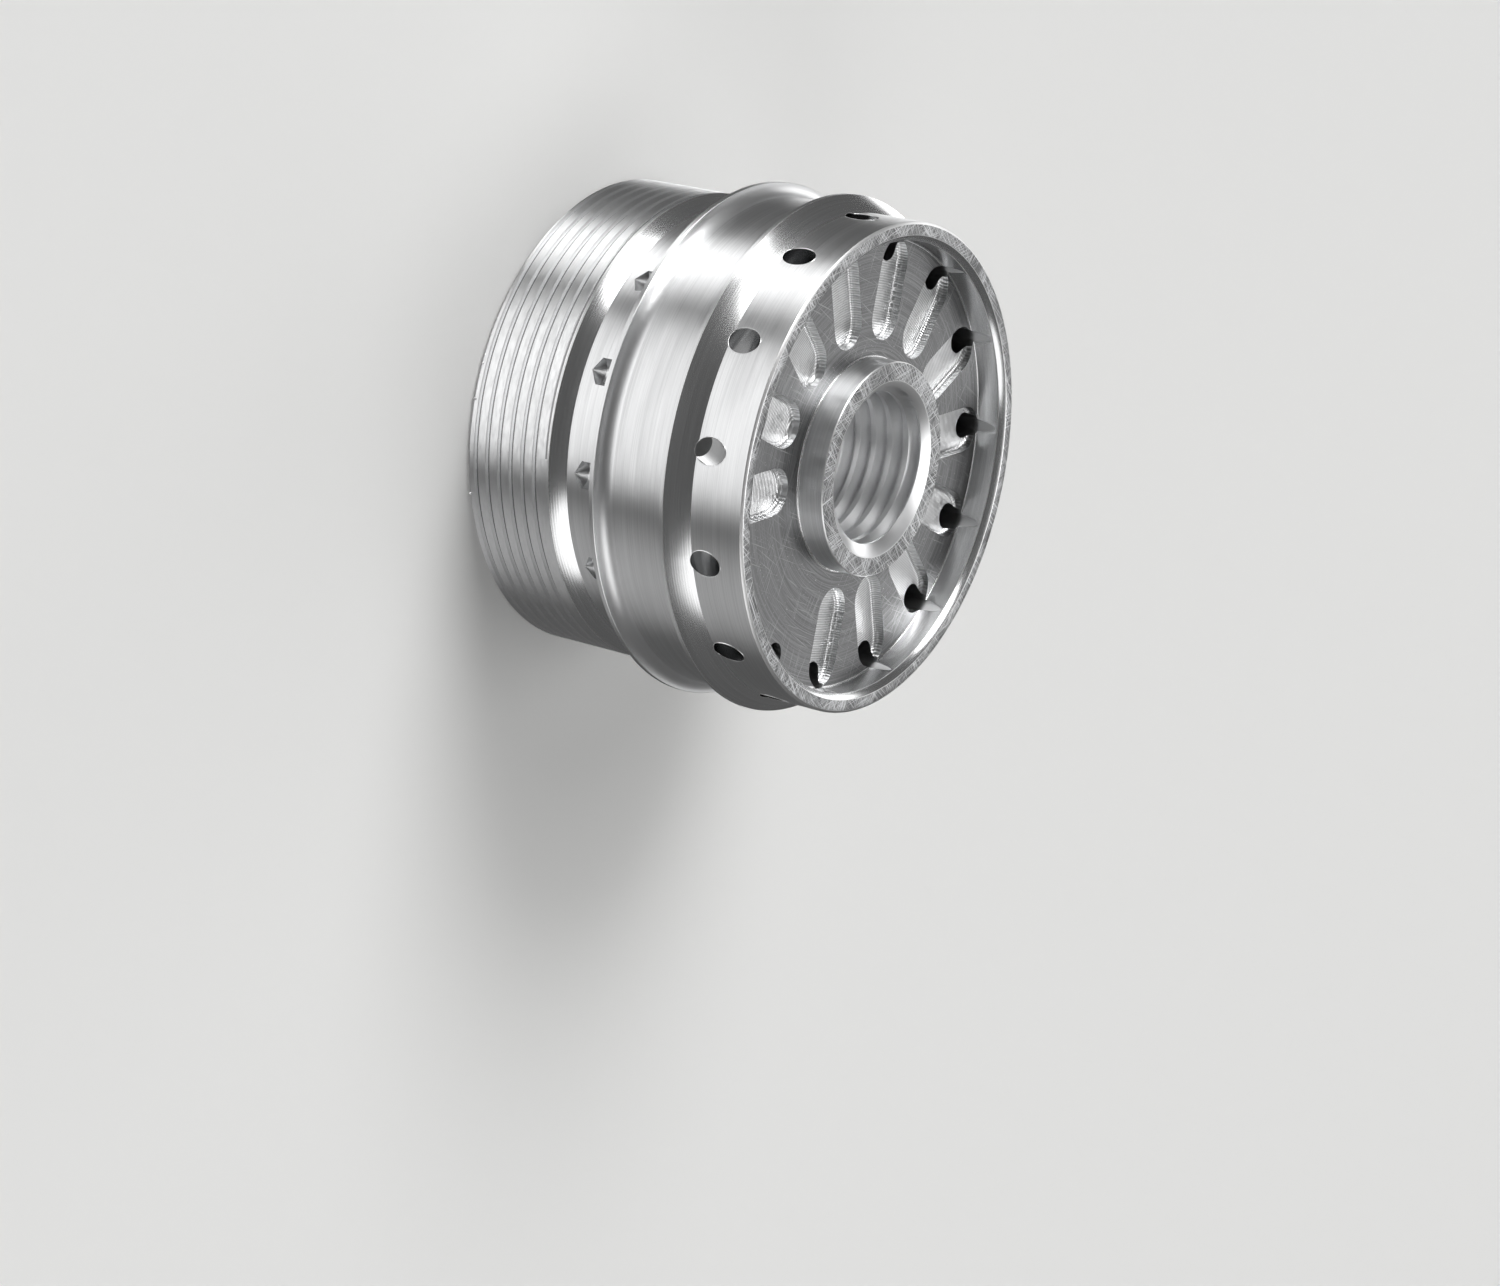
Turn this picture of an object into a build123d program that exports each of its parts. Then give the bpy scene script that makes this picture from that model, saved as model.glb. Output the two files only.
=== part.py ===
from build123d import *
import os
from math import atan2, cos, degrees, radians, tan

os.makedirs("parts", exist_ok=True)

# Turned aluminium body, one piece, in millimetres. It stands on its threaded rear end, with
# the origin at the centre of that end and +Z along the turning axis towards the front face.

# Outside diameters, and the height of the two ridges above the middle land
thread_diameter = 50.0
neck_diameter = 47.4
land_diameter = 51.6
front_diameter = 51.1
ridge_height = 1.35

# Lengths along the outside, from the rear end to the front face
thread_length = 10.5
lead_cone_length = 1.4
neck_length = 5.35
rear_ridge_width = 0.55
middle_land_length = 6.7
front_ridge_width = 0.45
front_cone_length = 2.3
front_land_length = 6.05
thread_end_chamfer = 0.4

# Front cavity with its rim
rim_wall = 2.0
rim_outer_chamfer = 0.25
rim_inner_chamfer = 0.6
cavity_depth = 3.2
floor_corner_radius = 0.15

# Web between the two cavities, and the rear cavity
web_thickness = 8.0
neck_wall = 3.2
rear_corner_radius = 1.0
rear_mouth_chamfer = 0.5

# Hub with its threaded bore, M18 x 2
bore_thread_diameter = 18.0
bore_thread_pitch = 2.0
hub_wall = 2.2
hub_recess = 0.2
hub_edge_chamfer = 0.1
countersink_margin = 0.22
countersink_angle = 120.0
bore_exit_chamfer = 0.8

# Stations around the axis. The sector of plain stations is centred on +X.
station_count = 14
plain_station_count = 2

# Pockets milled in the cavity floor
pocket_width = 4.9
pocket_depth = 1.1
pocket_bottom_radius = 0.55
pocket_hub_gap = 1.75
pocket_wall_gap = 0.1

# Holes drilled from the front through the web, which come out in the neck
long_hole_diameter = 2.8
long_hole_wall_bite = 0.17
long_hole_tip_margin = 0.95
drill_point_angle = 118.0

# Holes drilled from the front land into the corner of the rear cavity
oblique_hole_diameter = 2.8
oblique_hole_setback = 4.55
oblique_hole_exit_inset = 2.9

# Heights and radii that follow from these
neck_base = thread_length + lead_cone_length
rear_ridge_base = neck_base + neck_length
rear_ridge_top = rear_ridge_base + rear_ridge_width
cove_top = rear_ridge_top + ridge_height
front_ridge_base = cove_top + middle_land_length
front_ridge_top = front_ridge_base + front_ridge_width
front_land_base = front_ridge_top + front_cone_length
height = front_land_base + front_land_length

floor_height = height - cavity_depth
rear_face_height = floor_height - web_thickness
hub_top = height - hub_recess

thread_radius = thread_diameter / 2
neck_radius = neck_diameter / 2
land_radius = land_diameter / 2
front_radius = front_diameter / 2
ridge_radius = land_radius + ridge_height
cavity_radius = front_radius - rim_wall
rear_cavity_radius = neck_radius - neck_wall

# A 60 degree internal thread has its crests 0.5413 of the pitch inside the major radius
bore_thread_radius = bore_thread_diameter / 2
bore_radius = bore_thread_radius - 0.5413 * bore_thread_pitch
hub_radius = bore_thread_radius + hub_wall
countersink_radius = bore_thread_radius + countersink_margin
countersink_depth = (countersink_radius - bore_radius) / tan(radians(countersink_angle / 2))

station_angle = 360 / station_count
pocket_inner_end = hub_radius + pocket_hub_gap
pocket_outer_end = cavity_radius - pocket_wall_gap


def drill_plane(start, end):
    """Plane at start whose X runs along the drill to end and whose Z is square to the part's radius."""
    return Plane(origin=start, x_dir=end - start, z_dir=(0, -1, 0))


# One long drill, from the rim face down to its point in the neck, at the angle zero
long_hole_radius = long_hole_diameter / 2
point_length = long_hole_radius / tan(radians(drill_point_angle / 2))
long_hole_floor_point = Vector(cavity_radius + long_hole_wall_bite - long_hole_radius, 0, floor_height)
long_hole_tip = Vector(neck_radius, 0, neck_base + long_hole_tip_margin)
long_hole_direction = (long_hole_tip - long_hole_floor_point).normalized()
long_hole_start = long_hole_floor_point + long_hole_direction * (-cavity_depth / abs(long_hole_direction.Z))
long_hole_plane = drill_plane(long_hole_start, long_hole_tip)
long_hole_length = (long_hole_tip - long_hole_start).length

with BuildPart() as long_drill:
    with BuildSketch(long_hole_plane):
        with BuildLine():
            Polyline(
                (0, 0),
                (0, long_hole_radius),
                (long_hole_length - point_length, long_hole_radius),
                (long_hole_length, 0),
                close=True,
            )
        make_face()
    revolve(axis=Axis(long_hole_start, long_hole_direction))

# One oblique drill, from outside the front land to past the web's rear face, at the angle zero
oblique_entry = Vector(front_radius, 0, height - oblique_hole_setback)
oblique_exit = Vector(rear_cavity_radius - oblique_hole_exit_inset, 0, rear_face_height)
oblique_direction = (oblique_exit - oblique_entry).normalized()
oblique_start = oblique_entry - oblique_direction * oblique_hole_diameter
oblique_length = (oblique_exit - oblique_entry).length + 2 * oblique_hole_diameter

with BuildPart() as oblique_drill:
    with BuildSketch(Plane(origin=oblique_start, z_dir=oblique_direction)):
        Circle(oblique_hole_diameter / 2)
    extrude(amount=oblique_length)

with BuildPart() as turned_body:
    # The section that the lathe leaves, from the rear end up the outside to the front face,
    # then down the front cavity, over the hub and through the bore to the rear cavity
    with BuildSketch(Plane.XZ):
        with BuildLine():
            Polyline(
                (rear_cavity_radius + rear_mouth_chamfer, 0),
                (thread_radius - thread_end_chamfer, 0),
                (thread_radius, thread_end_chamfer),
                (thread_radius, thread_length),
                (neck_radius, neck_base),
                (neck_radius, rear_ridge_base),
                (ridge_radius, rear_ridge_base),
                (ridge_radius, rear_ridge_top),
            )
            RadiusArc((ridge_radius, rear_ridge_top), (land_radius, cove_top), ridge_height)
            Polyline(
                (land_radius, cove_top),
                (land_radius, front_ridge_base),
                (ridge_radius, front_ridge_base),
                (ridge_radius, front_ridge_top),
                (front_radius, front_land_base),
                (front_radius, height - rim_outer_chamfer),
                (front_radius - rim_outer_chamfer, height),
                (cavity_radius + rim_inner_chamfer, height),
                (cavity_radius, height - rim_inner_chamfer),
                (cavity_radius, floor_height),
                (hub_radius, floor_height),
                (hub_radius, hub_top - hub_edge_chamfer),
                (hub_radius - hub_edge_chamfer, hub_top),
                (countersink_radius, hub_top),
                (bore_radius, hub_top - countersink_depth),
                (bore_radius, rear_face_height + bore_exit_chamfer),
                (bore_radius + bore_exit_chamfer, rear_face_height),
                (rear_cavity_radius, rear_face_height),
                (rear_cavity_radius, rear_mouth_chamfer),
                (rear_cavity_radius + rear_mouth_chamfer, 0),
            )
        make_face()
    revolve(axis=Axis.Z)

    # Turning tools leave a small radius in the corners of both cavities
    floor_corners = turned_body.edges().filter_by(GeomType.CIRCLE).filter_by_position(
        Axis.Z, floor_height, floor_height
    )
    fillet(floor_corners, floor_corner_radius)
    rear_corner = turned_body.edges().filter_by(GeomType.CIRCLE).filter_by_position(
        Axis.Z, rear_face_height, rear_face_height
    ).sort_by(SortBy.RADIUS)[-1]
    fillet(rear_corner, rear_corner_radius)

    # Round-ended pockets, at each station but the plain ones
    with BuildSketch(Plane.XY.offset(floor_height)):
        with PolarLocations(
            (pocket_inner_end + pocket_outer_end) / 2,
            station_count - plain_station_count,
            start_angle=station_angle * (plain_station_count + 1) / 2,
            angular_range=station_angle * (station_count - plain_station_count),
        ):
            SlotOverall(pocket_outer_end - pocket_inner_end, pocket_width)
    extrude(amount=-pocket_depth, mode=Mode.SUBTRACT)
    pocket_floor = floor_height - pocket_depth
    fillet(turned_body.edges().filter_by_position(Axis.Z, pocket_floor, pocket_floor), pocket_bottom_radius)

    # A long hole at each station, half a step off +X, and an oblique hole between each two
    with PolarLocations(0, station_count, start_angle=station_angle / 2):
        add(long_drill.part, mode=Mode.SUBTRACT)
    with PolarLocations(0, station_count):
        add(oblique_drill.part, mode=Mode.SUBTRACT)

turned_body.part.label = "turned_body"
export_step(turned_body.part, "parts/turned_body.step")
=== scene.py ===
import math
import bmesh
import bpy
from functools import cache
from mathutils import Euler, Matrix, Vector
from mathutils.noise import noise as noise_at


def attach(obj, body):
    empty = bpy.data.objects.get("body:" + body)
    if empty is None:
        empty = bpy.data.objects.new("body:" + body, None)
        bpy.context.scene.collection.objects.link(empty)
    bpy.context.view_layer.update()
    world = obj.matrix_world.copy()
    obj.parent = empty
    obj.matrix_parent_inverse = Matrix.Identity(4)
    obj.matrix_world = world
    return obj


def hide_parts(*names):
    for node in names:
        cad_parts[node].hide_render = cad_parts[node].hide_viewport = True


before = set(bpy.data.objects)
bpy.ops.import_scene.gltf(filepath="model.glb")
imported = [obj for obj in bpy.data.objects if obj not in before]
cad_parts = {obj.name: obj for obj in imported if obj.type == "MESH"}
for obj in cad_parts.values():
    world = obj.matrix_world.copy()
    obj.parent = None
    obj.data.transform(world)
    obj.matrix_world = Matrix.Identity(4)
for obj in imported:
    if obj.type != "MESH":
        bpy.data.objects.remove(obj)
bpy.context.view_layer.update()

# Blender works in metres and radians. All lengths below are in millimetres and all angles in
# degrees, unless a comment says otherwise. A point of the section is (radius, height).
MM = 0.001

# The camera stands where the photograph was taken from
CAMERA_PLACE = (175.76, -256.68, 218.60)
CAMERA_ANGLES = (-21.630, -55.166, 146.395)
CAMERA_RANGE = (10.0, 50000.0)
CAMERA_LENS = 84.54
SENSOR_WIDTH = 36.0

# Radii of the turned section, as in the solid
THREAD_R = 25.0
NECK_R = 23.7
LAND_R = 25.8
RIDGE_R = 27.15
FRONT_R = 25.55
CAVITY_R = 23.55
REAR_CAVITY_R = 20.5
HUB_R = 11.2
COUNTERSINK_R = 9.22
COUNTERSINK_HALF_ANGLE = 60.0

# The bore's thread. Its crests are a share of the pitch inside its major radius, and its
# roots are an eighth of the pitch wide.
BORE_THREAD_R = 9.0
BORE_PITCH = 2.0
BORE_CREST_SHARE = 0.5413
BORE_R = BORE_THREAD_R - BORE_CREST_SHARE * BORE_PITCH
BORE_ROOT = BORE_PITCH / 8

# Heights above the rear end
THREAD_TOP = 10.5
NECK_BASE = 11.9
REAR_RIDGE_BASE = 17.25
REAR_RIDGE_TOP = 17.8
COVE_TOP = REAR_RIDGE_TOP + RIDGE_R - LAND_R
FRONT_RIDGE_BASE = 25.85
FRONT_RIDGE_TOP = 26.3
FRONT_LAND_BASE = 28.6
HEIGHT = 34.65
FLOOR_Z = 31.45
REAR_FACE_Z = 23.45
HUB_TOP = 34.45

# Chamfers and corner radii, and the small flat that deburring leaves on the other edges
REAR_END_CHAMFER = 0.4
REAR_MOUTH_CHAMFER = 0.5
RIM_OUTER_CHAMFER = 0.25
RIM_INNER_CHAMFER = 0.6
HUB_EDGE_CHAMFER = 0.1
BORE_EXIT_CHAMFER = 0.8
REAR_CORNER_R = 1.0
FLOOR_CORNER_R = 0.15
EDGE_BREAK = 0.04

# The outer thread: shallow grooves with wide lands between them. At its top the groove rises
# slowly out of the metal, and ends just above it.
GROOVE_PITCH = 1.5
GROOVE_DEPTH = 0.29
GROOVE_ROOT = 0.22
GROOVE_TOP_GAP = 0.3
GROOVE_END_ANGLE = -35.0
GROOVE_FADE_ANGLE = 200.0
GROOVE_END_LIFT = 0.02

# Flanks of both threads, measured from a plane square to the axis
FLANK_ANGLE = 30.0
FLANK_SLOPE = math.tan(math.radians(FLANK_ANGLE))

# Stations round the axis. The sector of plain stations is centred on +X.
STATIONS = 14
PLAIN_STATIONS = 2
STATION_ANGLE = 360 / STATIONS

# Pockets, with the ripples that the mill has left in their long walls
POCKET_WIDTH = 4.9
POCKET_DEPTH = 1.1
POCKET_BOTTOM_R = 0.55
POCKET_HUB_GAP = 1.75
POCKET_WALL_GAP = 0.1
RIPPLE_PITCH = 0.42
RIPPLE_DEPTH = 0.045

# Long holes from the cavity to the neck, and oblique holes from the front land to the rear cavity
HOLE_R = 1.4
HOLE_WALL_BITE = 0.17
HOLE_TIP_GAP = 0.95
DRILL_HALF_POINT = 59.0
DRILL_TIP_R = 0.01
OBLIQUE_SETBACK = 4.55
OBLIQUE_EXIT_INSET = 2.9
OBLIQUE_POINT_LENGTH = 0.05

# How far a cutter stands out of the surface that it cuts
CUTTER_OVERLAP = 0.3

# Number of steps in each round form, and the angle from which an edge is shaded as sharp
COLUMNS = 360
COVE_STEPS = 12
CORNER_STEPS = 4
REAR_CORNER_STEPS = 10
THREAD_STEPS = 180
POCKET_END_STEPS = 24
POCKET_BOTTOM_STEPS = 8
RIPPLE_STEPS = 3
HOLE_STEPS = 48
BURR_STEPS = 72
BURR_SIDES = 5
SHARP_ANGLE = 24

# Burrs round the oblique holes. A burr has most of its size on one side of the hole, which
# differs between the holes, and it is uneven. At least these shares of its size are left on
# its low side and where it is thin.
BURR_SIZE = 0.11
BURR_TALL = 0.8
BURR_WIDE = 0.6
BURR_LOW_SHARE = 0.25
BURR_THIN_SHARE = 0.35
BURR_GRAIN = 3
BURR_GRAIN_STEP = 5.3
BURR_SIDE_SPREAD = 0.6
BURR_SIDE_STEP = 2.1

# The search for a hole's mouth: how far it looks along the drill, and how often it halves that
MOUTH_REACH = 4 * HOLE_R
MOUTH_HALVINGS = 24

# Crumbs of metal on the edge of the rear end, each as its angle and its radius. The radius
# varies over a crumb from the lowest share by up to the spread, with so many bumps to a
# millimetre.
CRUMBS = [
    (-79, 0.07), (-76, 0.09), (-74, 0.06), (-71, 0.10), (-69, 0.07),
    (-67, 0.09), (-64, 0.06), (-62, 0.09), (-60, 0.14), (-57, 0.07),
    (-54, 0.08), (-51.5, 0.20), (-46, 0.06), (-39, 0.08), (-28.5, 0.18),
]
CRUMB_LOWEST = 0.7
CRUMB_SPREAD = 0.6
CRUMB_BUMPS = 9

# Colours of the metal, two of them darkened as painted shade for the oblique holes and the groove's
# root, and the turn that spreads its highlights across the turning lines
BRIGHT = (0.91, 0.915, 0.92)
GREY = (0.72, 0.725, 0.735)
POLISHED = (0.97, 0.97, 0.97)
# Painted shade: the oblique holes are coloured dark for the shade inside them
PAINTED_HOLE_SHADE = (0.42, 0.425, 0.43)
# Painted shade: the groove's root is coloured dark for the shade deep in it
PAINTED_ROOT_SHADE = (0.28, 0.28, 0.285)
QUARTER_TURN = 0.25

# Tool marks that are too fine for the mesh: their pitches, and uneven lines to a millimetre
LAND_FEED = 0.12
CONE_FEED = 0.2
POCKET_FEED = 0.26
COARSE_LINES = 2.2
TURNED_LINES = 5.0
BORED_LINES = 6.0
DRILLED_LINES = 7.0
FINE_LINES = 9.0

# The ranges that noise mostly stays in, the roughness of all noise, and the range of marks
NOISE_WIDE = (0.3, 0.7)
NOISE_MIDDLE = (0.35, 0.65)
NOISE_ROUGHNESS = 0.6
MARKS = (0.0, 1.0)

# Scratches: how unevenly their directions are spread, how soft their edges are, the steps
# that keep the noise of one direction from the next one's, and the noise at a patch's edge
SCRATCH_UNEVENNESS = 0.37
SCRATCH_SOFTNESS = 0.12
SCRATCH_STEP = 7.0
PATCH_STEP = 11.0
PATCH_EDGE = (0.42, 0.56)

# The studio: the tone all round, the tone of the backdrop that the camera sees, and the soft
# panels, each as azimuth from +X, elevation, half width and softness, and its strength. The
# panels under the horizon show in the metal only, because it doesn't reflect the floor.
STUDIO_BASE = 0.10
BACKDROP_TONE = 0.62
STUDIO_PANELS = [
    (-132, 35, 12, 7, 6.8),
    (-132, 3, 9, 6, 2.5),
    (-134, -32, 11, 6, 1.5),
    (-62, -32, 29, 12, 1.35),
    (22, -34, 13, 16, 0.33),
    (138, -28, 11, 7, 2.2),
    (154, 12, 9, 6, 1.8),
    (17, 35, 16, 4, 1.4),
    (128, 36, 14, 12, 0.65),
    (110, 76, 12, 10, 2.4),
]
PALE_FLOOR = (0.82, 0.82, 0.81)
PALE_FLOOR_ROUGHNESS = 0.9
PALE_FLOOR_HALF_WIDTH = 3000.0

# The lamp that lights the floor, and the faint lamp that shines up inside the rear cavity
KEY_ANGLES = (40.0, 0.0, -44.0)
KEY_SOFTNESS = 40.0
KEY_STRENGTH = 0.6
FILL_ANGLES = (180.0, 0.0, 0.0)
FILL_HEIGHT = 2.0
FILL_DIAMETER = 36.0
FILL_WATTS = 0.0015


def polar(radius, angle, height):
    """Point in metres at a radius, an angle and a height."""
    turn = math.radians(angle)
    return Vector((radius * math.cos(turn), radius * math.sin(turn), height)) * MM


def station_axes(angle):
    """The directions outwards and sideways at an angle round the axis."""
    turn = math.radians(angle)
    outwards = Vector((math.cos(turn), math.sin(turn), 0))
    sideways = Vector((-math.sin(turn), math.cos(turn), 0))
    return outwards, sideways


def circle_angles(steps):
    """Angles in radians, evenly round a full circle."""
    return [2 * math.pi * i / steps for i in range(steps)]


def arc(centre, radius, start, end, steps):
    """Points of the section along an arc."""
    points = []
    for i in range(steps + 1):
        turn = math.radians(start + (end - start) * i / steps)
        points.append((centre[0] + radius * math.cos(turn), centre[1] + radius * math.sin(turn)))
    return points


def broken(before, corner, after):
    """The two points that take a corner's place where its edge is broken."""
    corner = Vector(corner)
    towards = [(Vector(other) - corner).normalized() for other in (before, after)]
    return [tuple(corner + direction * EDGE_BREAK) for direction in towards]


def section_corners():
    """The section's corners: radius, height, the surface that starts there, and if it is broken."""

    def unbroken(points, surface):
        """Corners at the points of an arc, none of them broken."""
        return [(*point, surface, False) for point in points]

    countersink_depth = (COUNTERSINK_R - BORE_R) / math.tan(math.radians(COUNTERSINK_HALF_ANGLE))
    corner_z = FLOOR_Z + FLOOR_CORNER_R
    cove = arc((RIDGE_R, COVE_TOP), RIDGE_R - LAND_R, 270, 180, COVE_STEPS)[1:-1]
    floor_outer = arc((CAVITY_R - FLOOR_CORNER_R, corner_z), FLOOR_CORNER_R, 0, -90, CORNER_STEPS)
    floor_inner = arc((HUB_R + FLOOR_CORNER_R, corner_z), FLOOR_CORNER_R, 270, 180, CORNER_STEPS)
    rear_corner_centre = (REAR_CAVITY_R - REAR_CORNER_R, REAR_FACE_Z - REAR_CORNER_R)
    rear_corner = arc(rear_corner_centre, REAR_CORNER_R, 90, 0, REAR_CORNER_STEPS)
    return [
        (REAR_CAVITY_R + REAR_MOUTH_CHAMFER, 0, "face", True),
        (THREAD_R - REAR_END_CHAMFER, 0, "land", True),
        (THREAD_R, REAR_END_CHAMFER, "thread", False),
        (THREAD_R, THREAD_TOP, "lead_cone", True),
        (NECK_R, NECK_BASE, "land", False),
        (NECK_R, REAR_RIDGE_BASE, "land", False),
        (RIDGE_R, REAR_RIDGE_BASE, "land", True),
        (RIDGE_R, REAR_RIDGE_TOP, "cove", True),
        *unbroken(cove, "cove"),
        (LAND_R, COVE_TOP, "land", False),
        (LAND_R, FRONT_RIDGE_BASE, "land", False),
        (RIDGE_R, FRONT_RIDGE_BASE, "land", True),
        (RIDGE_R, FRONT_RIDGE_TOP, "front_cone", True),
        (FRONT_R, FRONT_LAND_BASE, "land", False),
        (FRONT_R, HEIGHT - RIM_OUTER_CHAMFER, "edge", False),
        (FRONT_R - RIM_OUTER_CHAMFER, HEIGHT, "face", True),
        (CAVITY_R + RIM_INNER_CHAMFER, HEIGHT, "wall", True),
        (CAVITY_R, HEIGHT - RIM_INNER_CHAMFER, "wall", True),
        *unbroken(floor_outer[:-1], "wall"),
        *unbroken(floor_outer[-1:], "floor"),
        *unbroken(floor_inner[:-1], "wall"),
        *unbroken(floor_inner[-1:], "hub_side"),
        (HUB_R, HUB_TOP - HUB_EDGE_CHAMFER, "edge", False),
        (HUB_R - HUB_EDGE_CHAMFER, HUB_TOP, "face", False),
        (COUNTERSINK_R, HUB_TOP, "bore", True),
        (BORE_R, HUB_TOP - countersink_depth, "bore", False),
        (BORE_R, REAR_FACE_Z + BORE_EXIT_CHAMFER, "bore", False),
        (BORE_R + BORE_EXIT_CHAMFER, REAR_FACE_Z, "floor", False),
        *unbroken(rear_corner, "floor"),
        (REAR_CAVITY_R, REAR_MOUTH_CHAMFER, "land", True),
    ]


def section_points():
    """The section as a closed loop of its points, each with the surface that starts there."""
    corners = section_corners()
    points = []
    for i, (radius, height, surface, is_broken) in enumerate(corners):
        if is_broken:
            before = corners[i - 1][:2]
            after = corners[(i + 1) % len(corners)][:2]
            first, second = broken(before, (radius, height), after)
            points.append((first, "edge"))
            points.append((second, surface))
        else:
            points.append(((radius, height), surface))
    return points


def scene_object(name, data):
    """A new object in the scene."""
    made = bpy.data.objects.new(name, data)
    bpy.context.scene.collection.objects.link(made)
    return made


def mesh_object(name, bm, materials):
    """A new object from a bmesh, with its normals turned outwards."""
    bmesh.ops.recalc_face_normals(bm, faces=bm.faces)
    mesh = bpy.data.meshes.new(name)
    bm.to_mesh(mesh)
    bm.free()
    for material in materials:
        mesh.materials.append(material)
    return scene_object(name, mesh)


def join_rings(bm, ring, ahead, slots):
    """Faces between two closed rings of vertices; slots gives each face's material number."""
    for i, slot in enumerate(slots):
        j = (i + 1) % len(slots)
        face = bm.faces.new((ring[i], ring[j], ahead[j], ahead[i]))
        face.material_index = slot


def tube_of_sections(bm, sections, slots=None):
    """Joins a row of closed sections, each a list of points, into one solid.

    slots gives the material number of each side of the section, where it isn't 0.
    """
    rings = [[bm.verts.new(point) for point in section] for section in sections]
    for ring, ahead in zip(rings, rings[1:]):
        join_rings(bm, ring, ahead, slots or [0] * len(ring))
    bm.faces.new(list(reversed(rings[0])))
    bm.faces.new(rings[-1])


def lathe(name, materials):
    """The body before drilling and milling: the section turned about Z."""
    slots = list(materials)
    points = section_points()
    bm = bmesh.new()
    rings = []
    for (radius, height), _ in points:
        ring = [polar(radius, 360 * i / COLUMNS, height) for i in range(COLUMNS)]
        rings.append([bm.verts.new(point) for point in ring])
    for row, (_, surface) in enumerate(points):
        above = rings[(row + 1) % len(rings)]
        join_rings(bm, rings[row], above, [slots.index(surface)] * COLUMNS)
    return mesh_object(name, bm, materials.values())


def thread_cutter(
    name, root_r, crest_r, root_width, pitch, bottom, top, top_angle, fade_angle, materials
):
    """A cutter for a right-handed helical groove with 60 degree flanks.

    Over the fade angle under its top, the groove rises out of the metal. The materials are
    those of its flanks and of its root.
    """
    depth = abs(crest_r - root_r)
    overlap = math.copysign(CUTTER_OVERLAP, crest_r - root_r)
    half_root = root_width / 2
    half_open = half_root + (depth + CUTTER_OVERLAP) * FLANK_SLOPE
    steps = round((top - bottom) / pitch * THREAD_STEPS)
    sections = []
    for i in range(steps + 1):
        height = top - pitch * i / THREAD_STEPS
        turned = 360 * i / THREAD_STEPS
        fade = max(0.0, 1 - turned / fade_angle) if fade_angle else 0.0
        lift = (crest_r - root_r + GROOVE_END_LIFT) * fade * fade
        section = [
            (root_r + lift, height - half_root),
            (root_r + lift, height + half_root),
            (crest_r + overlap + lift, height + half_open),
            (crest_r + overlap + lift, height - half_open),
        ]
        sections.append([polar(r, top_angle - turned, z) for r, z in section])
    # The first side of a section is the root, which has the second material
    bm = bmesh.new()
    tube_of_sections(bm, sections, (1, 0, 0, 0))
    return mesh_object(name, bm, materials)


def pocket_outline():
    """A pocket's outline, each point as its centre along the station, its heading and its swell.

    The point lies half the pocket's width, and its swell, from that centre.
    """
    inner = HUB_R + POCKET_HUB_GAP + POCKET_WIDTH / 2
    outer = CAVITY_R - POCKET_WALL_GAP - POCKET_WIDTH / 2
    count = round((outer - inner) / RIPPLE_PITCH) * RIPPLE_STEPS
    side = []
    for i in range(1, count):
        swell = RIPPLE_DEPTH * abs(math.sin(math.pi * i / RIPPLE_STEPS))
        side.append((inner + (outer - inner) * i / count, swell))
    half_turn = [180 * i / POCKET_END_STEPS for i in range(POCKET_END_STEPS + 1)]
    return [
        *[(outer, -90 + turned, 0.0) for turned in half_turn],
        *[(centre, 90, swell) for centre, swell in reversed(side)],
        *[(inner, 90 + turned, 0.0) for turned in half_turn],
        *[(centre, -90, swell) for centre, swell in side],
    ]


def pocket_cutter(name, material):
    """Round-ended pockets with a rounded bottom edge, at every station but the plain ones."""
    outline = pocket_outline()
    pocket_floor = FLOOR_Z - POCKET_DEPTH
    levels = [(0, FLOOR_Z + CUTTER_OVERLAP), (0, pocket_floor + POCKET_BOTTOM_R)]
    bottom_centre = (POCKET_BOTTOM_R, POCKET_BOTTOM_R)
    for inset, rise in arc(bottom_centre, POCKET_BOTTOM_R, 180, 270, POCKET_BOTTOM_STEPS)[1:]:
        levels.append((inset, pocket_floor + rise))
    bm = bmesh.new()
    for k in range(STATIONS - PLAIN_STATIONS):
        outwards, sideways = station_axes(STATION_ANGLE * (k + (PLAIN_STATIONS + 1) / 2))
        sections = []
        for inset, height in levels:
            ring = []
            for centre, heading, swell in outline:
                reach = POCKET_WIDTH / 2 + swell - inset
                x = centre + reach * math.cos(math.radians(heading))
                y = reach * math.sin(math.radians(heading))
                ring.append((outwards * x + sideways * y + Vector((0, 0, height))) * MM)
            sections.append(ring)
        tube_of_sections(bm, sections)
    return mesh_object(name, bm, [material])


def long_hole_line():
    """The start of a long hole, level with the rim, and its tip in the neck."""
    floor_r = CAVITY_R + HOLE_WALL_BITE - HOLE_R
    tip = (NECK_R, NECK_BASE + HOLE_TIP_GAP)
    share = (HEIGHT - FLOOR_Z) / (FLOOR_Z - tip[1])
    return (floor_r - (tip[0] - floor_r) * share, HEIGHT), tip


def oblique_hole_line():
    """The start and the end of an oblique hole, each the hole's width beyond the metal."""
    entry = Vector((FRONT_R, HEIGHT - OBLIQUE_SETBACK))
    way_out = Vector((REAR_CAVITY_R - OBLIQUE_EXIT_INSET, REAR_FACE_Z))
    overrun = (way_out - entry).normalized() * 2 * HOLE_R
    return entry - overrun, way_out + overrun


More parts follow.
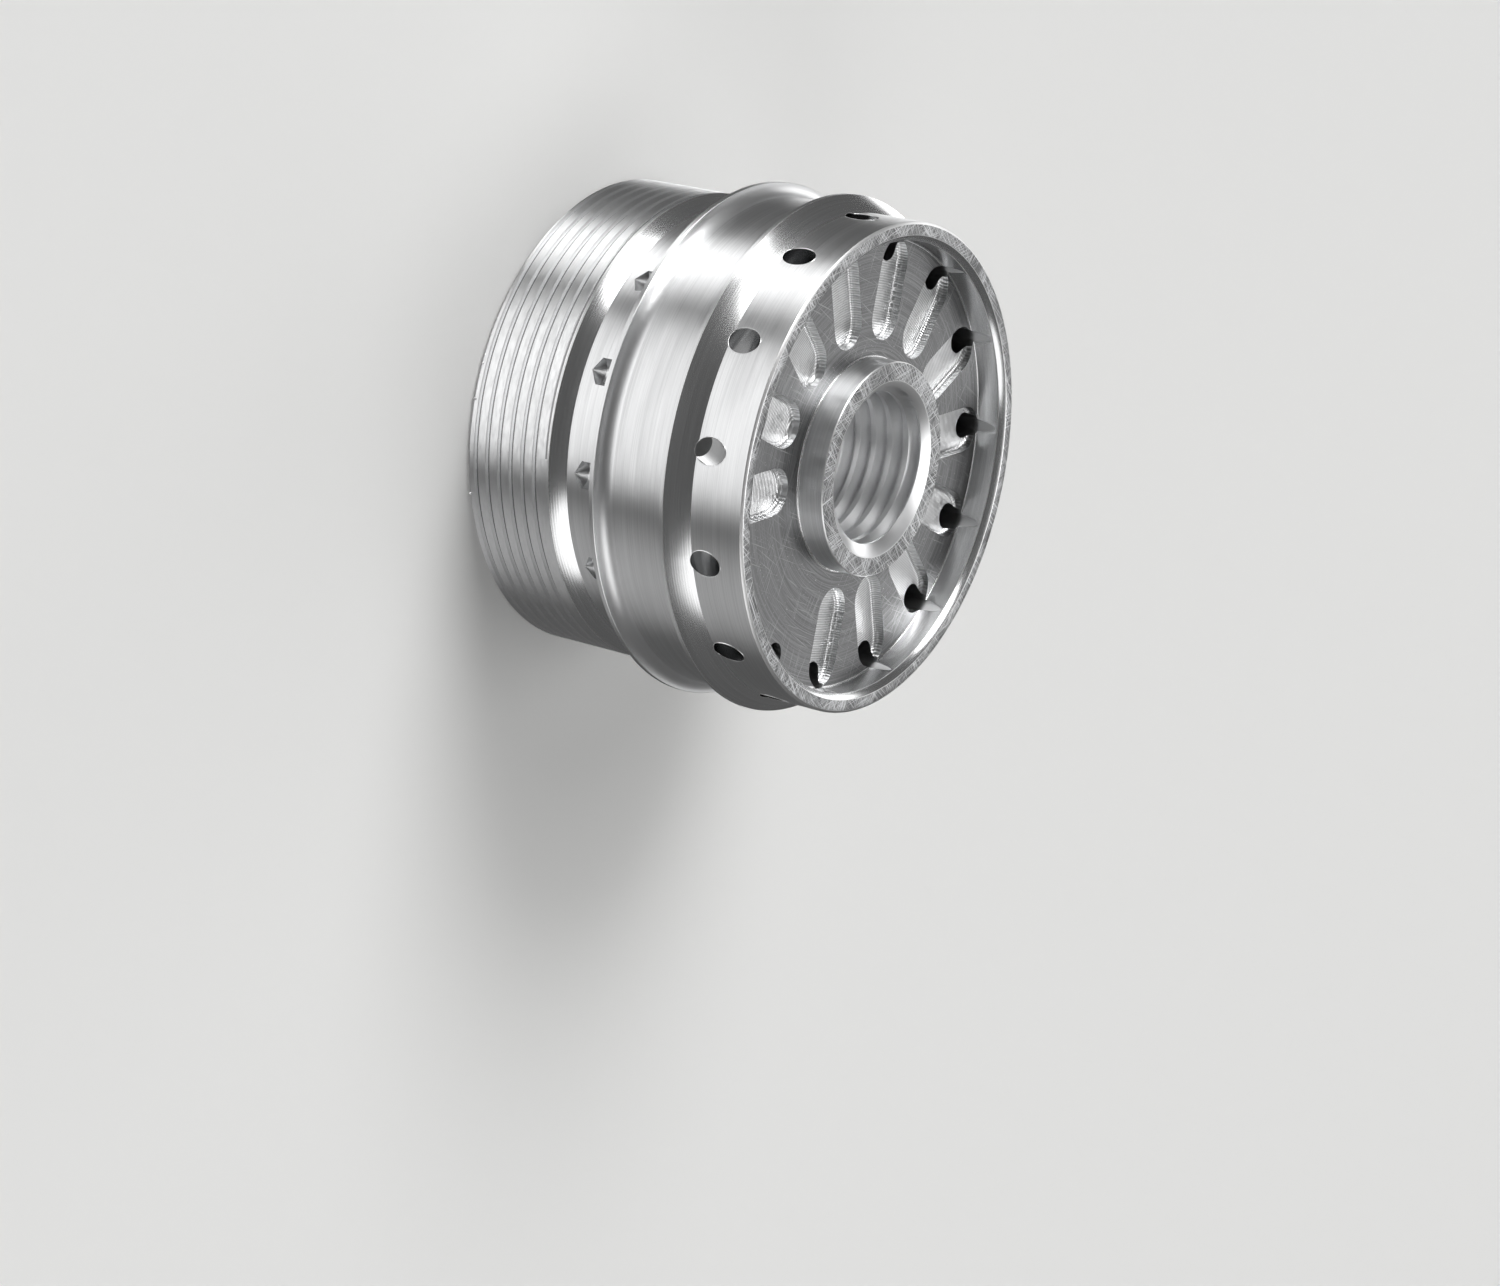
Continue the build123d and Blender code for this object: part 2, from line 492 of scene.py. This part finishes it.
def drill_cutter(name, line, point_length, offset, material):
    """One drill at each station, along a line of the section; offset is in stations."""
    (start_r, start_z), (end_r, end_z) = line
    bm = bmesh.new()
    for k in range(STATIONS):
        station = STATION_ANGLE * (k + offset)
        start = polar(start_r, station, start_z)
        end = polar(end_r, station, end_z)
        axis = (end - start).normalized()
        side = axis.cross(Vector((0, 0, 1))).normalized()
        other = axis.cross(side)
        shoulder = end - axis * point_length * MM
        sections = []
        for centre, radius in ((start, HOLE_R), (shoulder, HOLE_R), (end, DRILL_TIP_R)):
            ring = []
            for turn in circle_angles(HOLE_STEPS):
                ring.append(centre + (side * math.cos(turn) + other * math.sin(turn)) * radius * MM)
            sections.append(ring)
        tube_of_sections(bm, sections)
    return mesh_object(name, bm, [material])


def noise_value(place):
    """Smooth noise from 0 to 1."""
    return 0.5 + 0.5 * noise_at(place)


def at_least(low, share):
    """A share from 0 to 1, brought into the range from low to 1."""
    return low + (1 - low) * share


def add_crumbs(bm, slot):
    """Small uneven crumbs of metal on the edge of the rear end, where the thread starts."""
    for k, (angle, size) in enumerate(CRUMBS):
        spot = polar(THREAD_R, angle, REAR_END_CHAMFER)
        crumb = bmesh.ops.create_icosphere(bm, subdivisions=1, radius=size * MM)
        for vert in crumb["verts"]:
            bump = noise_value(vert.co * CRUMB_BUMPS / MM + Vector((k, k, k)))
            vert.co = vert.co * (CRUMB_LOWEST + CRUMB_SPREAD * bump) + spot
            for face in vert.link_faces:
                face.material_index = slot


def outside_radius(height):
    """The radius of the front cone or front land at a height."""
    share = max(0.0, (FRONT_LAND_BASE - height) / (FRONT_LAND_BASE - FRONT_RIDGE_TOP))
    return FRONT_R + (RIDGE_R - FRONT_R) * share


def way_in(spot, axis):
    """Where the line from a spot outside the part, along the axis, enters the metal."""
    low = 0.0
    high = MOUTH_REACH
    for _ in range(MOUTH_HALVINGS):
        middle = (low + high) / 2
        point = spot + axis * middle
        if math.hypot(point.x, point.y) > outside_radius(point.z):
            low = middle
        else:
            high = middle
    return spot + axis * low


def add_burrs(bm, slot):
    """Thin uneven lips that the drill has left round the mouths of the oblique holes."""
    start, end = oblique_hole_line()
    lean = (end - start).normalized()
    for k in range(STATIONS):
        outwards, sideways = station_axes(STATION_ANGLE * k)
        axis = outwards * lean.x + Vector((0, 0, lean.y))
        up = axis.cross(sideways).normalized()
        origin = outwards * start.x + Vector((0, 0, start.y))
        mouth = []
        for turn in circle_angles(BURR_STEPS):
            spot = origin + (sideways * math.cos(turn) + up * math.sin(turn)) * HOLE_R
            mouth.append(way_in(spot, axis))
        rings = []
        for i, turn in enumerate(circle_angles(BURR_STEPS)):
            point = mouth[i]
            grain = (math.cos(turn) * BURR_GRAIN, math.sin(turn) * BURR_GRAIN, k * BURR_GRAIN_STEP)
            uneven = at_least(BURR_THIN_SHARE, noise_value(Vector(grain)))
            low_side = BURR_SIDE_SPREAD * math.sin(BURR_SIDE_STEP * k)
            one_side = at_least(BURR_LOW_SHARE, 0.5 - 0.5 * math.cos(turn - low_side))
            size = BURR_SIZE * one_side * uneven
            along = (mouth[(i + 1) % BURR_STEPS] - mouth[i - 1]).normalized()
            away = Vector((point.x, point.y, 0)).normalized()
            beside = along.cross(away).normalized()
            ring = []
            for spin in circle_angles(BURR_SIDES):
                lip = away * math.cos(spin) * BURR_TALL + beside * math.sin(spin) * BURR_WIDE
                ring.append(bm.verts.new((point + lip * size) * MM))
            rings.append(ring)
        for ring, ahead in zip(rings, rings[1:] + rings[:1]):
            join_rings(bm, ring, ahead, [slot] * BURR_SIDES)


def cut(body, cutters):
    """Takes the cutters' volumes out of the body, and lets the cut faces keep their materials."""
    tools = bpy.data.collections.new("cutters")
    for cutter in cutters:
        tools.objects.link(cutter)
    change = body.modifiers.new("cut", "BOOLEAN")
    change.operation = "DIFFERENCE"
    change.operand_type = "COLLECTION"
    change.solver = "EXACT"
    change.material_mode = "TRANSFER"
    change.collection = tools
    with bpy.context.temp_override(object=body, active_object=body):
        bpy.ops.object.modifier_apply(modifier=change.name)
    for cutter in cutters:
        bpy.data.objects.remove(cutter)
    bpy.data.collections.remove(tools)


class Nodes:
    """Adds nodes to a node tree. A value is another node's socket or a plain one."""

    def __init__(self, tree):
        self.tree = tree

    def put(self, node, name, value):
        """Links a socket to a node's input, or sets a plain value there."""
        if isinstance(value, bpy.types.NodeSocket):
            self.tree.links.new(value, node.inputs[name])
        else:
            node.inputs[name].default_value = value

    def add(self, kind, inputs=None, **settings):
        """A new node with its settings and its inputs, by name or number."""
        node = self.tree.nodes.new(kind)
        for name, value in settings.items():
            setattr(node, name, value)
        for name, value in (inputs or {}).items():
            self.put(node, name, value)
        return node

    def calc(self, operation, *values):
        """The result of a Math node."""
        return self.add("ShaderNodeMath", dict(enumerate(values)), operation=operation).outputs[0]

    def chain(self, operation, values):
        """The result of an operation on several values, one after another."""
        result = values[0]
        for value in values[1:]:
            result = self.calc(operation, result, value)
        return result

    def total(self, *values):
        """The sum of the values."""
        return self.chain("ADD", values)

    def times(self, *values):
        """The product of the values."""
        return self.chain("MULTIPLY", values)

    def greatest(self, *values):
        """The greatest of the values."""
        return self.chain("MAXIMUM", values)

    def vector(self, x, y, z):
        """A vector from three values."""
        return self.add("ShaderNodeCombineXYZ", {"X": x, "Y": y, "Z": z}).outputs[0]

    def noise(self, place, scale=1.0, detail=3.0):
        """Noise from 0 to 1 at a place, with about scale grains to its unit."""
        inputs = {"Vector": place, "Scale": scale, "Detail": detail, "Roughness": NOISE_ROUGHNESS}
        return self.add("ShaderNodeTexNoise", inputs).outputs["Fac"]

    def remap(self, value, source, target, interpolation="LINEAR"):
        """The value mapped from one range to another, and held at its ends."""
        inputs = {
            "Value": value,
            "From Min": source[0],
            "From Max": source[1],
            "To Min": target[0],
            "To Max": target[1],
        }
        return self.add("ShaderNodeMapRange", inputs, interpolation_type=interpolation).outputs[0]


class MetalNodes(Nodes):
    """The nodes of a metal surface, with sockets for the point's place on it in millimetres."""

    def __init__(self, tree):
        super().__init__(tree)
        metres = self.add("ShaderNodeTexCoord").outputs["Object"]
        scaled = self.add("ShaderNodeVectorMath", {0: metres, "Scale": 1 / MM}, operation="SCALE")
        self.point = scaled.outputs[0]
        self.x, self.y, self.z = self.add("ShaderNodeSeparateXYZ", {0: self.point}).outputs
        squares = [self.times(side, side) for side in (self.x, self.y)]
        self.radius = self.calc("SQRT", self.total(*squares))

    def round_axis(self, around, along):
        """A place for grain that runs round a turned surface, in grains to a millimetre."""
        x = self.times(self.x, around)
        y = self.times(self.y, around)
        return self.vector(x, y, self.times(self.z, along))

    def round_face(self, around, outwards):
        """A place for grain on a flat face, in grains to a radian and to a millimetre outwards."""
        x = self.times(self.calc("DIVIDE", self.x, self.radius), around)
        y = self.times(self.calc("DIVIDE", self.y, self.radius), around)
        return self.vector(x, y, self.times(self.radius, outwards))

    def lines(self, along, around=0.05, detail=3.0):
        """Noise in thin lines round a turned surface, in grains to a millimetre."""
        return self.noise(self.round_axis(around, along), detail=detail)

    def distance(self, turn, unit):
        """How many units the point lies from the axis, along a direction in radians."""
        x = self.times(self.x, math.cos(turn) / unit)
        y = self.times(self.y, math.sin(turn) / unit)
        return self.total(x, y)

    def wave(self, travel, pitch):
        """A wave from -1 to 1 along a travel in millimetres."""
        return self.calc("SINE", self.times(travel, 2 * math.pi / pitch))

    def scratches(self, directions, length, spacing, threshold, seed, patch=None):
        """Fine straight scratches on a face square to Z, from 0 to 1, in several directions.

        A higher threshold leaves fewer. With a patch size, each direction shows in patches.
        """
        layers = []
        for k in range(directions):
            turn = math.pi * (k + SCRATCH_UNEVENNESS * math.sin(seed + 3 * k)) / directions
            along = self.distance(turn, length)
            across = self.distance(turn + math.pi / 2, spacing)
            grain = self.noise(self.vector(along, across, SCRATCH_STEP * k + seed), detail=0.0)
            layer = self.remap(grain, (threshold, threshold + SCRATCH_SOFTNESS), MARKS)
            if patch:
                x = self.calc("DIVIDE", self.x, patch)
                y = self.calc("DIVIDE", self.y, patch)
                where = self.noise(self.vector(x, y, PATCH_STEP * k + seed), detail=1.0)
                layer = self.times(layer, self.remap(where, PATCH_EDGE, MARKS))
            layers.append(layer)
        return self.greatest(*layers)


def broad_change(nodes):
    """A slow change of roughness round a turned surface."""
    areas = nodes.noise(nodes.round_axis(0.12, 0.5), detail=2.0)
    return nodes.remap(areas, NOISE_WIDE, (-0.02, 0.03))


def turned_roughness(nodes):
    """Smoother and rougher turning lines."""
    lines = nodes.remap(nodes.lines(TURNED_LINES), NOISE_WIDE, (0.34, 0.40))
    return nodes.total(lines, broad_change(nodes))


def turned_height(nodes):
    """Turning lines on a faint even feed."""
    feed = nodes.wave(nodes.z, LAND_FEED)
    return nodes.total(nodes.lines(TURNED_LINES, detail=4.0), nodes.times(feed, 0.12))


def turned_tint(nodes):
    """Darker turning lines, coarse and fine."""
    coarse = nodes.remap(nodes.lines(COARSE_LINES), NOISE_MIDDLE, (0.94, 1.0))
    fine = nodes.remap(nodes.lines(FINE_LINES), NOISE_MIDDLE, (0.88, 1.0))
    return nodes.times(coarse, fine)


def crest_roughness(nodes):
    """Short uneven marks on the lands between the grooves."""
    marks = nodes.noise(nodes.round_axis(0.9, 4.0))
    return nodes.total(nodes.remap(marks, (0.35, 0.7), (0.32, 0.44)), broad_change(nodes))


def crest_height(nodes):
    """Turning lines with short marks."""
    marks = nodes.noise(nodes.round_axis(1.2, 5.0), detail=4.0)
    return nodes.total(nodes.lines(TURNED_LINES, detail=4.0), nodes.times(marks, 0.08))


def crest_tint(nodes):
    """Short marks, slightly darker than the metal round them."""
    marks = nodes.noise(nodes.round_axis(1.0, 4.0), detail=4.0)
    return nodes.remap(marks, (0.3, 0.6), (0.93, 1.0))


def lead_cone_height(nodes):
    """Turning lines on an even feed."""
    feed = nodes.wave(nodes.z, CONE_FEED)
    return nodes.total(nodes.times(feed, 0.5), nodes.lines(TURNED_LINES))


def front_cone_height(nodes):
    """An even feed with faint lines."""
    feed = nodes.wave(nodes.z, CONE_FEED)
    return nodes.total(nodes.times(feed, 0.25), nodes.times(nodes.lines(BORED_LINES), 0.15))


@cache
def face_marks(nodes):
    """The scratches of the rim, the hub's top and the rear end, made once for a material."""
    short = nodes.scratches(5, 7.0, 0.09, 0.57, seed=1.0, patch=4.0)
    long = nodes.scratches(3, 20.0, 0.15, 0.66, seed=5.0)
    return nodes.greatest(short, long)


def face_roughness(nodes):
    """Rougher where it is scratched."""
    return nodes.remap(face_marks(nodes), MARKS, (0.30, 0.5))


def face_height(nodes):
    """Scratches cut into a slightly grainy face."""
    grain = nodes.noise(nodes.point, 9.0)
    return nodes.total(nodes.times(face_marks(nodes), -1.0), nodes.times(grain, 0.6))


def face_scratches_and_painted_glints(nodes):
    """The scratches, painted bright as glints, on a darker face."""
    return nodes.remap(face_marks(nodes), MARKS, (0.27, 1.2))


@cache
def floor_marks(nodes):
    """The rings, pits and scratches of the cavity floor, made once for a material."""
    rings = nodes.noise(nodes.round_face(1.2, 9.0), detail=2.0)
    pits = nodes.noise(nodes.point, 4.0)
    scratches = nodes.scratches(4, 6.0, 0.12, 0.70, seed=2.0)
    return nodes.greatest(
        nodes.remap(rings, (0.42, 0.66), (0.0, 0.2)),
        nodes.remap(pits, (0.66, 0.74), (0.0, 0.8)),
        nodes.times(scratches, 0.4),
    )


def floor_roughness(nodes):
    """Rougher where it is marked."""
    return nodes.remap(floor_marks(nodes), MARKS, (0.32, 0.5))


def floor_height(nodes):
    """Marks cut into the floor."""
    return nodes.times(floor_marks(nodes), -1.0)


def floor_marks_and_painted_glints(nodes):
    """The marks, painted bright as glints, on a darker floor."""
    return nodes.remap(floor_marks(nodes), MARKS, (0.30, 1.2))


def wall_height(nodes):
    """Turning lines with some unevenness between them."""
    return nodes.total(nodes.lines(TURNED_LINES), nodes.times(nodes.noise(nodes.point, 3.0), 0.3))


def bore_height(nodes):
    """The lines of a threading tool."""
    return nodes.lines(BORED_LINES)


def pocket_height(nodes):
    """The mill's ripples, stronger in some places, and fine marks across them."""
    uneven = nodes.noise(nodes.point, 1.4, detail=2.0)
    ripples = nodes.times(nodes.wave(nodes.radius, POCKET_FEED), uneven, 0.6)
    return nodes.total(ripples, nodes.times(nodes.noise(nodes.round_face(9.0, 1.0)), 0.6))


def pocket_ripple_painted_shading(nodes):
    """Painted light and shade along the mill's ripples."""
    uneven = nodes.noise(nodes.point, 1.1, detail=2.0)
    ripples = nodes.times(nodes.wave(nodes.radius, POCKET_FEED), uneven)
    return nodes.remap(ripples, (-0.3, 0.3), (0.7, 1.0))


def hole_roughness(nodes):
    """Rougher where the hole grazes the cavity's wall, above the floor."""
    return nodes.remap(nodes.z, (FLOOR_Z - 0.1, FLOOR_Z + 0.4), (0.3, 0.7))


def hole_height(nodes):
    """The lines of a drill."""
    return nodes.lines(DRILLED_LINES)


def hole_painted_light_and_shade(nodes):
    """Painted light in the cavity's wall and at the drill's point, and painted shade deep in the
    hole between them.
    """
    painted_wall_light = nodes.remap(nodes.z, (FLOOR_Z - 0.5, FLOOR_Z + 0.3), (0.35, 0.9))
    painted_point_light = nodes.remap(nodes.z, (REAR_RIDGE_BASE, REAR_RIDGE_TOP + 1.0), (0.95, 0.35))
    return nodes.greatest(painted_wall_light, painted_point_light)


# The finishes, by the names that the section and the cutters use. Each is its material's name,
# colour, roughness, height, depth of the height, anisotropy and tint.
FINISHES = {
    "land": ("turned_land", BRIGHT, turned_roughness, turned_height, 0.006, 0.9, turned_tint),
    "thread": ("thread_crest", BRIGHT, crest_roughness, crest_height, 0.005, 0.9, crest_tint),
    "groove": ("thread_groove", BRIGHT, 0.3, bore_height, 0.004, 0.5),
    # The root's dark colour is painted shade for the shade deep in the groove
    "root": ("thread_root_painted_shade", PAINTED_ROOT_SHADE, 0.45),
    "lead_cone": ("lead_cone", BRIGHT, 0.22, lead_cone_height, 0.002, 0.5, turned_tint),
    "front_cone": ("front_cone", BRIGHT, 0.22, front_cone_height, 0.0015, 0.3, turned_tint),
    "cove": ("cove", BRIGHT, turned_roughness, turned_height, 0.005, 0.8),
    "edge": ("broken_edge", POLISHED, 0.35),
    # The face's scratches are real marks, painted bright as glints
    "face": ("scratched_face_painted_glints", GREY, face_roughness, face_height, 0.007, 0.0, face_scratches_and_painted_glints),
    # The floor's marks are real, painted bright as glints
    "floor": ("cavity_floor_painted_glints", GREY, floor_roughness, floor_height, 0.010, 0.0, floor_marks_and_painted_glints),
    "wall": ("cavity_wall", BRIGHT, 0.22, wall_height, 0.006, 0.6, turned_tint),
    "hub_side": ("hub_side", BRIGHT, 0.37, wall_height, 0.006, 0.8, turned_tint),
    "bore": ("bore", BRIGHT, 0.32, bore_height, 0.004, 0.6),
    # The pockets' tint is painted light and shade along their ripples
    "pocket": ("milled_pocket_painted_shading", BRIGHT, 0.31, pocket_height, 0.04, 0.0, pocket_ripple_painted_shading),
    # The long holes' tint is painted light and shade by depth
    "hole": ("drilled_hole_painted_light_and_shade", BRIGHT, hole_roughness, hole_height, 0.006, 0.6, hole_painted_light_and_shade),
    # The oblique holes' dark colour is painted shade
    "side_hole_painted_shade": ("side_hole_painted_shade", PAINTED_HOLE_SHADE, 0.25, hole_height, 0.006, 0.6),
}


def metal(name, colour, roughness, height=None, depth=0.0, anisotropy=0.0, tint=None):
    """An aluminium surface.

    The roughness is a number or a function that makes its nodes. The height and the tint are
    such functions or left out. The height's whole range is as deep as depth says.
    """
    material = bpy.data.materials.new(name)
    material.use_nodes = True
    nodes = MetalNodes(material.node_tree)
    shader = material.node_tree.nodes["Principled BSDF"]
    shader.inputs["Metallic"].default_value = 1.0
    shader.inputs["Base Color"].default_value = (*colour, 1.0)
    shader.inputs["Anisotropic"].default_value = anisotropy
    shader.inputs["Anisotropic Rotation"].default_value = QUARTER_TURN
    nodes.put(shader, "Roughness", roughness(nodes) if callable(roughness) else roughness)
    if anisotropy:
        tangent = nodes.add("ShaderNodeTangent", direction_type="RADIAL", axis="Z")
        nodes.put(shader, "Tangent", tangent.outputs[0])
    if tint:
        inputs = {"Factor": 1.0, "A": (*colour, 1.0), "B": tint(nodes)}
        tinted = nodes.add("ShaderNodeMix", inputs, data_type="RGBA", blend_type="MULTIPLY")
        nodes.put(shader, "Base Color", tinted.outputs["Result"])
    if height:
        inputs = {"Strength": 1.0, "Distance": depth * MM, "Height": height(nodes)}
        nodes.put(shader, "Normal", nodes.add("ShaderNodeBump", inputs).outputs[0])
    return material


def build_body():
    """The whole part: turned, threaded, milled and drilled."""
    finishes = {surface: metal(*values) for surface, values in FINISHES.items()}
    body = lathe("machined_body", finishes)
    outer_thread = thread_cutter(
        "outer_thread_cutter",
        root_r=THREAD_R - GROOVE_DEPTH,
        crest_r=THREAD_R,
        root_width=GROOVE_ROOT,
        pitch=GROOVE_PITCH,
        bottom=-GROOVE_PITCH,
        top=THREAD_TOP - GROOVE_TOP_GAP,
        top_angle=GROOVE_END_ANGLE,
        fade_angle=GROOVE_FADE_ANGLE,
        materials=(finishes["groove"], finishes["root"]),
    )
    bore_thread = thread_cutter(
        "bore_thread_cutter",
        root_r=BORE_THREAD_R,
        crest_r=BORE_R,
        root_width=BORE_ROOT,
        pitch=BORE_PITCH,
        bottom=REAR_FACE_Z - BORE_PITCH,
        top=HUB_TOP + BORE_PITCH,
        top_angle=0.0,
        fade_angle=0.0,
        materials=(finishes["bore"], finishes["bore"]),
    )
    pockets = pocket_cutter("pocket_cutter", finishes["pocket"])
    point_length = HOLE_R / math.tan(math.radians(DRILL_HALF_POINT))
    long_drills = drill_cutter("long_drills", long_hole_line(), point_length, 0.5, finishes["hole"])
    oblique_drills = drill_cutter(
        "oblique_drills", oblique_hole_line(), OBLIQUE_POINT_LENGTH, 0.0, finishes["side_hole_painted_shade"]
    )
    cut(body, [outer_thread, bore_thread, pockets, long_drills, oblique_drills])

    slot = body.data.materials.find(finishes["edge"].name)
    bm = bmesh.new()
    bm.from_mesh(body.data)
    add_burrs(bm, slot)
    add_crumbs(bm, slot)
    bm.to_mesh(body.data)
    bm.free()
    body.data.shade_smooth()
    body.data.set_sharp_from_angle(angle=math.radians(SHARP_ANGLE))
    return body


def build_floor():
    """A plain pale floor under the part, which the metal doesn't reflect."""
    half = PALE_FLOOR_HALF_WIDTH * MM
    corners = [(-half, -half), (half, -half), (half, half), (-half, half)]
    bm = bmesh.new()
    bm.faces.new([bm.verts.new((x, y, 0)) for x, y in corners])
    material = bpy.data.materials.new("pale_floor")
    material.use_nodes = True
    shader = material.node_tree.nodes["Principled BSDF"]
    shader.inputs["Base Color"].default_value = (*PALE_FLOOR, 1.0)
    shader.inputs["Roughness"].default_value = PALE_FLOOR_ROUGHNESS
    floor = mesh_object("studio_floor", bm, [material])
    floor.visible_glossy = False


def euler(angles):
    """A rotation from three angles."""
    return Euler([math.radians(angle) for angle in angles], "XYZ")


def soft_panel(nodes, direction, azimuth, elevation, half_width, softness, strength):
    """The light that a soft round panel of the studio sends from a direction."""
    turn = math.radians(azimuth)
    rise = math.radians(elevation)
    aim = (math.cos(turn) * math.cos(rise), math.sin(turn) * math.cos(rise), math.sin(rise))
    facing = nodes.add("ShaderNodeVectorMath", {0: direction, 1: aim}, operation="DOT_PRODUCT")
    inner = math.cos(math.radians(half_width))
    outer = math.cos(math.radians(half_width + softness))
    return nodes.remap(facing.outputs["Value"], (outer, inner), (0.0, strength), "SMOOTHSTEP")


def build_panels():
    """The soft panels round the part, with a plain pale backdrop in their place for the camera."""
    world = bpy.data.worlds.new("soft_studio")
    bpy.context.scene.world = world
    world.use_nodes = True
    nodes = Nodes(world.node_tree)
    direction = nodes.add("ShaderNodeTexCoord").outputs["Generated"]
    panels = [soft_panel(nodes, direction, *panel) for panel in STUDIO_PANELS]
    light = nodes.total(STUDIO_BASE, *panels)
    seen = nodes.add("ShaderNodeLightPath").outputs["Is Camera Ray"]
    inputs = {"Factor": seen, "A": light, "B": BACKDROP_TONE}
    tone = nodes.add("ShaderNodeMix", inputs, data_type="FLOAT").outputs["Result"]
    background = world.node_tree.nodes["Background"]
    nodes.put(background, "Color", tone)
    nodes.put(background, "Strength", 1.0)


def build_lamps():
    """The floor's soft lamp, and a faint lamp in the rear cavity that lights the holes."""
    sun = bpy.data.lights.new("floor_key", "SUN")
    sun.angle = math.radians(KEY_SOFTNESS)
    sun.energy = KEY_STRENGTH
    key = scene_object("floor_key", sun)
    key.rotation_euler = euler(KEY_ANGLES)
    key.visible_glossy = False

    glow = bpy.data.lights.new("inner_fill", "AREA")
    glow.shape = "DISK"
    glow.size = FILL_DIAMETER * MM
    glow.energy = FILL_WATTS
    fill = scene_object("inner_fill", glow)
    fill.location = (0, 0, FILL_HEIGHT * MM)
    fill.rotation_euler = euler(FILL_ANGLES)
    fill.visible_camera = False


def build_camera():
    """The photograph's viewpoint, turned so that the part lies as the photograph shows it."""
    camera = bpy.data.cameras.new("camera")
    camera.lens = CAMERA_LENS
    camera.sensor_width = SENSOR_WIDTH
    camera.sensor_fit = "HORIZONTAL"
    camera.clip_start = CAMERA_RANGE[0] * MM
    camera.clip_end = CAMERA_RANGE[1] * MM
    made = scene_object("camera", camera)
    made.location = Vector(CAMERA_PLACE) * MM
    made.rotation_euler = euler(CAMERA_ANGLES)
    bpy.context.scene.camera = made
    bpy.context.scene.view_settings.view_transform = "Standard"


body = build_body()
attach(body, "root")
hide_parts("turned_body")
build_floor()
build_panels()
build_lamps()
build_camera()
